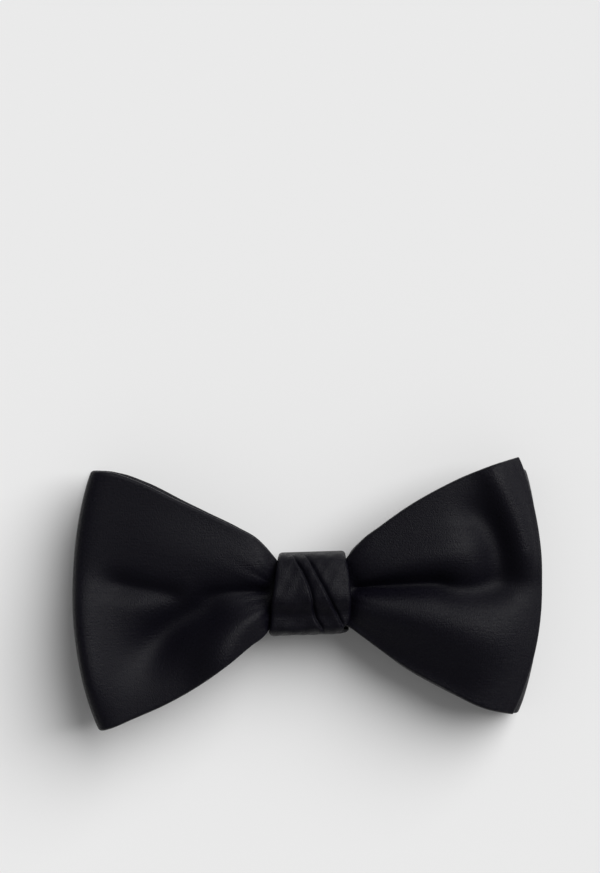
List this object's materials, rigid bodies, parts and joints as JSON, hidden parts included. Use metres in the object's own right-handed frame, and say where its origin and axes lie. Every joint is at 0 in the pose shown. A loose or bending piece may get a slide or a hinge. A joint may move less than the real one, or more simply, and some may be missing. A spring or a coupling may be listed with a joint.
{
  "type": "bow tie",
  "caption": "Clip-on butterfly bow tie of black satin: two looped blades pinched in a pleated knot band, with a sprung metal collar clip behind.",
  "frame": {"origin": "on the surface the bow lies on, under the middle of its bounding box", "axes": "+X along the bow's width towards the wing at the viewer's right, +Y towards the edge that is uppermost when worn, +Z out of the bow's front"},
  "size_m": [0.12, 0.0662, 0.021],
  "materials": {
    "black_satin": "satin weave, soft sheen",
    "interlining": "matt woven canvas",
    "wadding": "matt felted wadding",
    "sewing_thread": "matt twisted thread",
    "clip_steel": "nickel-plated stamped steel",
    "pin_steel": "nickel-plated, riveted ends",
    "spring_steel": "drawn wire"
  },
  "bodies": {
    "bow": {"front_blade_face": "black_satin", "front_blade_interlining": "interlining", "front_blade_back": "black_satin", "rear_blade_face": "black_satin", "rear_blade_interlining": "interlining", "rear_blade_back": "black_satin", "knot_band": "black_satin", "knot_band_interlining": "interlining", "knot_pad": "wadding", "waist_thread": "sewing_thread", "knot_closure_stitches": "sewing_thread", "clip_base": "clip_steel", "left_hinge_pin": "pin_steel", "right_hinge_pin": "pin_steel", "left_spring": "spring_steel", "right_spring": "spring_steel"},
    "left_jaw": {"left_jaw": "clip_steel"},
    "right_jaw": {"right_jaw": "clip_steel"}
  },
  "joints": [
    {"name": "left_jaw_hinge", "type": "hinge", "parent": "bow", "child": "left_jaw", "pos_m": [-0.0145, 0, 0.0046], "axis": [0, -1, 0], "range_deg": [0, 18], "stiffness_Nm_per_rad": 0.03, "springref_deg": -28.65, "deforming": ["left_spring"]},
    {"name": "right_jaw_hinge", "type": "hinge", "parent": "bow", "child": "right_jaw", "pos_m": [0.0145, 0, 0.0046], "axis": [0, 1, 0], "range_deg": [0, 18], "stiffness_Nm_per_rad": 0.03, "springref_deg": -28.65, "deforming": ["right_spring"]}
  ]
}
